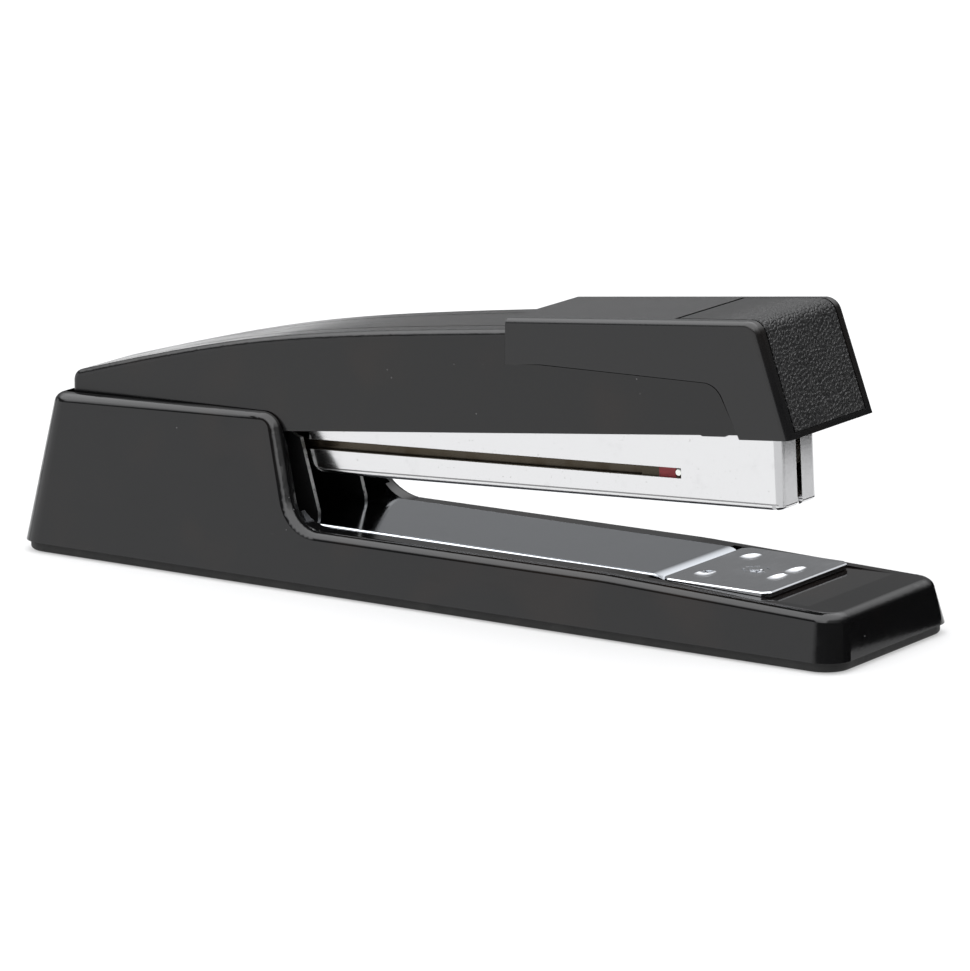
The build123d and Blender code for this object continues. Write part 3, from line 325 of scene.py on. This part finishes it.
def flag_red():
    """Dark red marker paint on the pusher's side."""
    f = Finish("flag_red", (0.23, 0.010, 0.014), 0.36)
    f.tint(f.step(f.noise(1300, 3.0), 0.45, 0.75), (0.14, 0.006, 0.009))
    f.roughen(f.noise(900, 3.0), 0.2)
    f.bump(f.noise(3500, 3.0), 0.01 * MM)
    return f.done()


def oiled_steel():
    """Dark steel with drifts of browner tarnish."""
    f = Finish("rail_steel", (0.066, 0.056, 0.042), 0.20, metallic=0.9)
    f.soften(0.15 * MM)
    f.tint(f.step(f.noise(120, 4.0), 0.42, 0.72), (0.044, 0.034, 0.022))
    f.roughen(f.noise(1800, 3.0, place=f.stretched((0.04, 1, 1))), 0.14)
    f.bump(f.noise(2400, 3.0, place=f.stretched((0.05, 1, 1))), 0.004 * MM)
    return f.done()


FINISHES = {
    "shell_enamel": enamel("shell_enamel", 0.065, 0.009),
    "arm_enamel": enamel("arm_enamel", 0.160, 0.012),
    "cap_plastic": cap_plastic(),
    "grip_texture": grip_texture(),
    "pad_rubber": pad_rubber(),
    "yoke_paint": yoke_paint(),
    "deck_plate": plated("deck_plate", (0.58, 0.605, 0.64), 0.045, streak=0.05),
    "anvil_plating": plated("anvil_plating", (0.66, 0.675, 0.70), 0.10, grain=(1, 0.05, 1), streak=0.07),
    "magazine_plating": magazine_plating(),
    "rail_steel": oiled_steel(),
    "frame_steel": plated("frame_steel", (0.46, 0.46, 0.45), 0.30, streak=0.16),
    "fastener_steel": plated("fastener_steel", (0.56, 0.55, 0.53), 0.22, grain=(1, 1, 0.1)),
    "spring_steel": plated("spring_steel", (0.42, 0.42, 0.43), 0.24, grain=(1, 1, 1), streak=0.12),
    "pusher_steel": plated("pusher_steel", (0.056, 0.048, 0.036), 0.24, streak=0.14,
                           spots=(0.07, 0.06, 0.045)),
    "flag_red": flag_red(),
    "flag_rivet_metal": plated("flag_rivet_metal", (0.80, 0.82, 0.78), 0.20, grain=(1, 1, 1)),
}


def give_finishes():
    """Every CAD node takes the finish of its material slot in the record."""
    for entry in frame["record"]["subparts"]:
        node = NODES[entry["node"]]
        node.data.materials.clear()
        node.data.materials.append(FINISHES[entry["material_slot"]])


give_finishes()


# ---------------------------------------------------------------- springs
LIFT_WIRE, LIFT_TURNS = 0.5 * MM, 7.5
LIFT_PLAY = 1.4 * MM        # the coil's top is drawn low, to clear the pusher spring at the lowest pose
ANVIL_WIRE, ANVIL_TURNS = 0.3 * MM, 4.5
PUSHER_WIRE, PUSHER_TURNS = 0.32 * MM, 62
PUSHER_SLOPE_ALLOWANCE = 0.04       # of the sloping tube's height, off its length in X; an estimate
PUSHER_FILL = 0.995                 # of the tube's length that the coil takes up


def coil_mesh(name, start, axis, length, radius, wire, turns, closed=2.0, around=10, steps=28):
    """A compression spring with closed ends, wound along axis from start."""
    axis = Vector(axis).normalized()
    across = axis.orthogonal().normalized()
    third = axis.cross(across)
    dead = closed * 2 * wire                    # what the closed turns take up at each end
    mesh = bmesh.new()
    rings = []
    count = int(turns * steps)
    for i in range(count + 1):
        turn = turns * i / count
        if turn < closed:
            rise = wire + turn * 2 * wire
        elif turn > turns - closed:
            rise = length - wire - (turns - turn) * 2 * wire
        else:
            share = (turn - closed) / (turns - 2 * closed)
            rise = wire + dead + share * (length - 2 * wire - 2 * dead)
        angle = 2 * pi * turn
        out = across * cos(angle) + third * sin(angle)
        centre = Vector(start) + out * radius + axis * rise
        rings.append([mesh.verts.new(centre + out * (wire * cos(2 * pi * k / around))
                                     + axis * (wire * sin(2 * pi * k / around))) for k in range(around)])
    for a, b in zip(rings, rings[1:]):
        for k in range(around):
            mesh.faces.new((a[k], a[(k + 1) % around], b[(k + 1) % around], b[k]))
    mesh.faces.new(rings[0][::-1])
    mesh.faces.new(rings[-1])
    bmesh.ops.recalc_face_normals(mesh, faces=mesh.faces)
    data = bpy.data.meshes.new(name)
    mesh.to_mesh(data)
    mesh.free()
    for polygon in data.polygons:
        polygon.use_smooth = True
    data.materials.append(FINISHES["spring_steel"])
    made = bpy.data.objects.new(name, data)
    bpy.context.scene.collection.objects.link(made)
    return made


def upright_spring(node, body, wire, turns, play=0.0):
    """A coil that stands in place of a CAD tube whose axis is vertical; its top is lower by play."""
    low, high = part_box(node)
    radius = (high.x - low.x) / 2 - wire
    foot = Vector(((low.x + high.x) / 2, (low.y + high.y) / 2, low.z))
    made = coil_mesh(node + "_coil", foot, (0, 0, 1), high.z - low.z - play, radius, wire, turns, closed=1.25)
    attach(made, body)
    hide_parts(node)
    return made


def springs():
    """Coils in place of the CAD's tubes. Each stays rigid."""
    upright_spring("lift_spring", "base", LIFT_WIRE, LIFT_TURNS, play=LIFT_PLAY)
    anvil = upright_spring("anvil_spring", "anvil", ANVIL_WIRE, ANVIL_TURNS)
    low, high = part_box("anvil_spring")
    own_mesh(anvil)

    low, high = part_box("pusher_spring")
    length = (high.x - low.x - (high.z - low.z) * PUSHER_SLOPE_ALLOWANCE) / SLIDE.x
    radius = (high.y - low.y) / 2 - PUSHER_WIRE
    rear = Vector((low.x, 0, low.z)) + Vector((-SLIDE.z, 0, SLIDE.x)) * (radius + PUSHER_WIRE)
    made = coil_mesh("pusher_spring_coil", rear, SLIDE, length * PUSHER_FILL, radius, PUSHER_WIRE,
                     PUSHER_TURNS, steps=18, around=8)
    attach(made, "magazine")
    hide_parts("pusher_spring")
    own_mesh(made)


springs()


# ---------------------------------------------------------------- studio
LOOK_AT = Vector((0.002815, 0.0, 0.023258))
AZIMUTH, ELEVATION, DISTANCE = radians(33.312), radians(12.63), 1.51533
FOCAL_LENGTH, SENSOR = 259.5, 36.0
FLOOR_GREY, FLOOR_GLOW, FLOOR_SPAN = 0.33, 0.45, 14
FLOOR_DROP = 0.2 * MM               # below the pad's foot
TOWARDS_FLAGS = (0.56, 0.83, 0)     # the way that the front faces reflect
BLACK_FLAGS = (("far_flag", 0.24, 0.50, 0.075), ("low_flag", 0.055, 0.15, 0.014))  # distance, width, height
GREY_FLAG, GREY_FLAG_AHEAD, GREY_FLAG_SIZE = 0.38, 0.42, (0.8, 1.6)
NEAR_SKY = ((0, 0.34), (17.5, 0.33), (19.5, 0.02), (29, 0.02), (34, 0.68), (42, 1.0), (90, 0.95))
FAR_SKY = ((0, 0.03), (4, 0.07), (8, 0.082), (12.6, 0.066), (16, 0.05), (23, 0.12), (33, 0.34), (52, 0.92),
           (90, 0.95))
RIGHT_SKY = ((0, 0.015), (24, 0.02), (40, 0.20), (60, 0.85), (90, 0.95))
SKY_TINT, SKY_STRENGTH = (0.995, 1.0, 1.012), 3.6


def camera():
    """A long lens, from the near side and a little ahead of the nose."""
    data = bpy.data.cameras.new("camera")
    data.lens = FOCAL_LENGTH
    data.sensor_width = SENSOR
    data.clip_start, data.clip_end = 0.05, 50
    back = Vector((sin(AZIMUTH) * cos(ELEVATION), -cos(AZIMUTH) * cos(ELEVATION), sin(ELEVATION)))
    made = bpy.data.objects.new("camera", data)
    made.location = LOOK_AT + back * DISTANCE
    made.rotation_mode = "QUATERNION"
    made.rotation_quaternion = (-back).to_track_quat("-Z", "Y")
    bpy.context.scene.collection.objects.link(made)
    bpy.context.scene.camera = made


def stage_plane(name, material, centre, facing, width, height):
    """A flat rectangle of the studio, which isn't part of the object."""
    data = bpy.data.meshes.new(name)
    w, h = width / 2, height / 2
    data.from_pydata([(-w, -h, 0), (w, -h, 0), (w, h, 0), (-w, h, 0)], [], [(0, 1, 2, 3)])
    data.materials.append(material)
    made = bpy.data.objects.new(name, data)
    made.matrix_world = (Matrix.Translation(Vector(centre))
                         @ Vector(facing).to_track_quat("Z", "Y").to_matrix().to_4x4())
    bpy.context.scene.collection.objects.link(made)
    return made


def paper(name, grey, glow=0.0):
    """A matt studio surface, which may be lit from behind."""
    material = bpy.data.materials.new(name)
    material.use_nodes = True
    shader = material.node_tree.nodes["Principled BSDF"]
    shader.inputs["Base Color"].default_value = (grey, grey, grey, 1)
    shader.inputs["Roughness"].default_value = 0.9
    shader.inputs["Specular IOR Level"].default_value = 0.0
    shader.inputs["Emission Color"].default_value = (1, 1, 1, 1)
    shader.inputs["Emission Strength"].default_value = glow
    return material


def reflected_only(card):
    """Hides a card from the camera and from soft light, so that only reflections show it."""
    card.visible_camera = False
    card.visible_diffuse = False
    card.visible_shadow = False


def floor():
    """A flat floor, wider than any view. It also glows, which washes out most of the shadow."""
    stage_plane("floor", paper("floor_paper", FLOOR_GREY, FLOOR_GLOW), (0, 0, -FLOOR_DROP), (0, 0, 1),
                FLOOR_SPAN, FLOOR_SPAN)


def flags():
    """Cards round the nose that only reflections show; they darken the front faces and the nose flanges."""
    black = paper("flag_black", 0.0)
    towards = Vector(TOWARDS_FLAGS).normalized()
    nose = Vector((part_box("base_shell")[1].x, 0, 0))
    for name, distance, width, height in BLACK_FLAGS:
        reflected_only(stage_plane(name, black, nose + towards * distance + Vector((0, 0, height / 2)),
                                   -towards, width, height))
    grey = paper("flag_grey", GREY_FLAG)
    ahead = nose + Vector((GREY_FLAG_AHEAD, 0, -FLOOR_DROP / 2))
    reflected_only(stage_plane("floor_flag", grey, ahead, (0, 0, 1), *GREY_FLAG_SIZE))


def sky():
    """Three skies, bright overhead, blended by direction. They are uneven and set for the camera's side: the
    near one has a black band over a grey wall, and the far and right ones are dark low down, so views from
    behind show the sides much darker."""
    world = bpy.data.worlds.new("studio")
    world.use_nodes = True
    nodes, links = world.node_tree.nodes, world.node_tree.links
    background = nodes["Background"]
    parts = nodes.new("ShaderNodeSeparateXYZ")
    links.new(nodes.new("ShaderNodeTexCoord").outputs["Generated"], parts.inputs[0])

    def ramp(stops):
        node = nodes.new("ShaderNodeValToRGB")
        links.new(parts.outputs["Z"], node.inputs["Fac"])
        elements = node.color_ramp.elements
        while len(elements) < len(stops):
            elements.new(0.5)
        for element, (elevation, level) in zip(elements, stops):
            element.position = sin(radians(elevation))
            element.color = (*(level * t for t in SKY_TINT), 1)
        return node.outputs["Color"]

    def blend(first, second, axis, low, high):
        """Passes from first to second as the direction's axis goes from low to high."""
        share = nodes.new("ShaderNodeMapRange")
        share.interpolation_type = "SMOOTHSTEP"
        for socket, number in zip(list(share.inputs)[1:5], (low, high, 0.0, 1.0)):
            socket.default_value = number
        links.new(parts.outputs[axis], share.inputs["Value"])
        mix = nodes.new("ShaderNodeMix")
        mix.data_type = "RGBA"
        links.new(share.outputs["Result"], mix.inputs["Factor"])
        sockets = [s for s in mix.inputs if s.type == "RGBA"]
        links.new(first, sockets[0])
        links.new(second, sockets[1])
        return [s for s in mix.outputs if s.type == "RGBA"][0]

    near, far, right = ramp(NEAR_SKY), ramp(FAR_SKY), ramp(RIGHT_SKY)
    room = blend(blend(near, far, "Y", -0.15, 0.25), right, "X", 0.25, 0.50)
    links.new(room, background.inputs["Color"])
    background.inputs["Strength"].default_value = SKY_STRENGTH
    bpy.context.scene.world = world


camera()
floor()
flags()
sky()
bpy.context.scene.view_settings.view_transform = "Standard"
